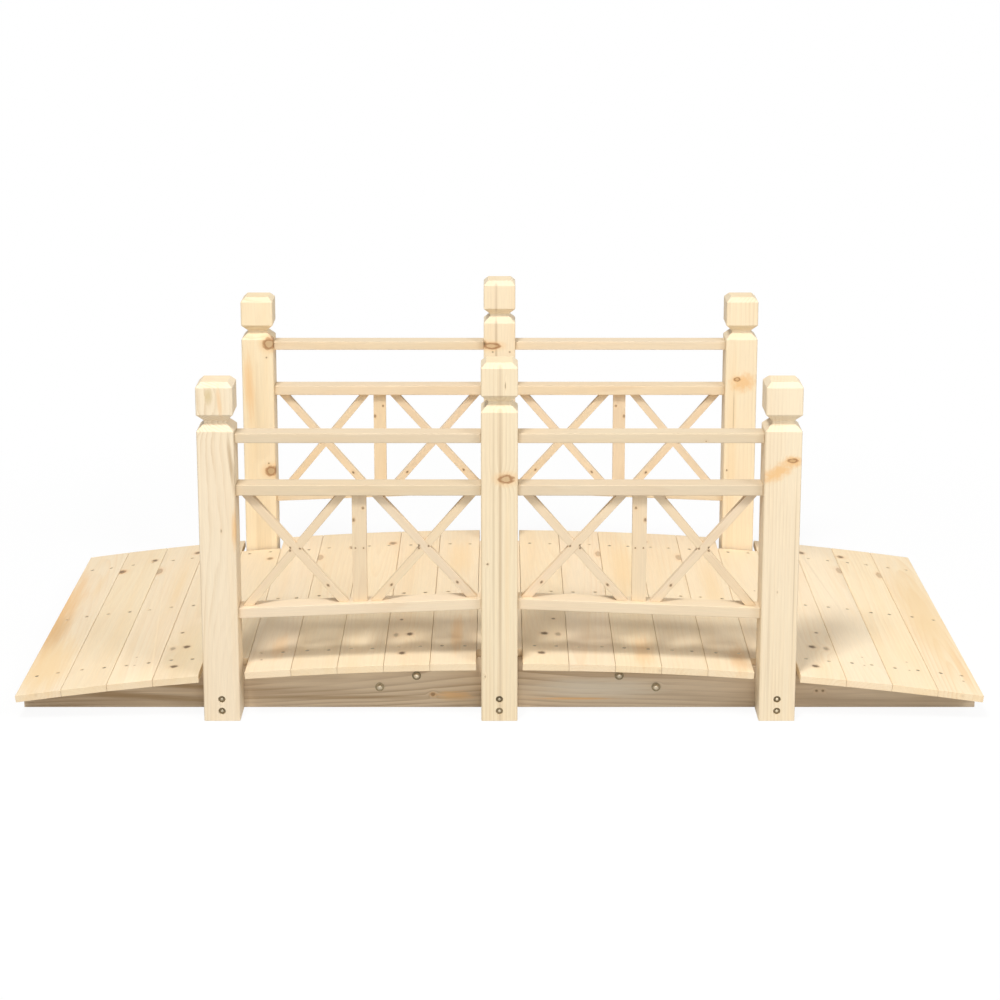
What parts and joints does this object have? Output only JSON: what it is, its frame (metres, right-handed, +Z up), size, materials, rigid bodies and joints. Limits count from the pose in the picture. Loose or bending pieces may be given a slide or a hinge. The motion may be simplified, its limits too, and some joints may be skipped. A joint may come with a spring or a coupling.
{
  "type": "garden bridge",
  "caption": "Small arched wooden garden bridge with a plank deck on curved beams and a railing of capped posts, rails and crossed braces on each side.",
  "frame": {"origin": "on the ground at the middle of the bridge", "axes": "+X along the bridge, +Y across it towards the rear railing, +Z up"},
  "size_m": [1.4994, 0.67, 0.57],
  "materials": {
    "post_wood": "planed untreated softwood",
    "rail_wood": "planed untreated softwood",
    "brace_wood": "planed untreated softwood",
    "deck_wood": "planed untreated softwood",
    "beam_wood": "sawn untreated softwood",
    "fastener_steel": "galvanised screws and bolt heads"
  },
  "bodies": {
    "root": {"front_left_post": "post_wood", "front_centre_post": "post_wood", "front_right_post": "post_wood", "rear_left_post": "post_wood", "rear_centre_post": "post_wood", "rear_right_post": "post_wood", "front_top_rails": "rail_wood", "front_middle_rails": "rail_wood", "front_lower_rails": "rail_wood", "rear_top_rails": "rail_wood", "rear_middle_rails": "rail_wood", "rear_lower_rails": "rail_wood", "balusters": "brace_wood", "front_outward_braces": "brace_wood", "front_inward_braces": "brace_wood", "rear_outward_braces": "brace_wood", "rear_inward_braces": "brace_wood", "front_beam_left": "beam_wood", "front_beam_right": "beam_wood", "middle_beam_left": "beam_wood", "middle_beam_right": "beam_wood", "rear_beam_left": "beam_wood", "rear_beam_right": "beam_wood", "splice_boards": "beam_wood", "deck_board_01": "deck_wood", "deck_board_02": "deck_wood", "deck_board_03": "deck_wood", "deck_board_04": "deck_wood", "deck_board_05": "deck_wood", "deck_board_06": "deck_wood", "deck_board_07": "deck_wood", "deck_board_08": "deck_wood", "deck_board_09": "deck_wood", "deck_board_10": "deck_wood", "deck_board_11": "deck_wood", "deck_board_12": "deck_wood", "deck_board_13": "deck_wood", "deck_board_14": "deck_wood", "deck_board_15": "deck_wood", "deck_board_16": "deck_wood", "deck_board_17": "deck_wood", "deck_board_18": "deck_wood", "deck_board_19": "deck_wood", "deck_board_20": "deck_wood", "deck_board_21": "deck_wood"}
  },
  "joints": []
}
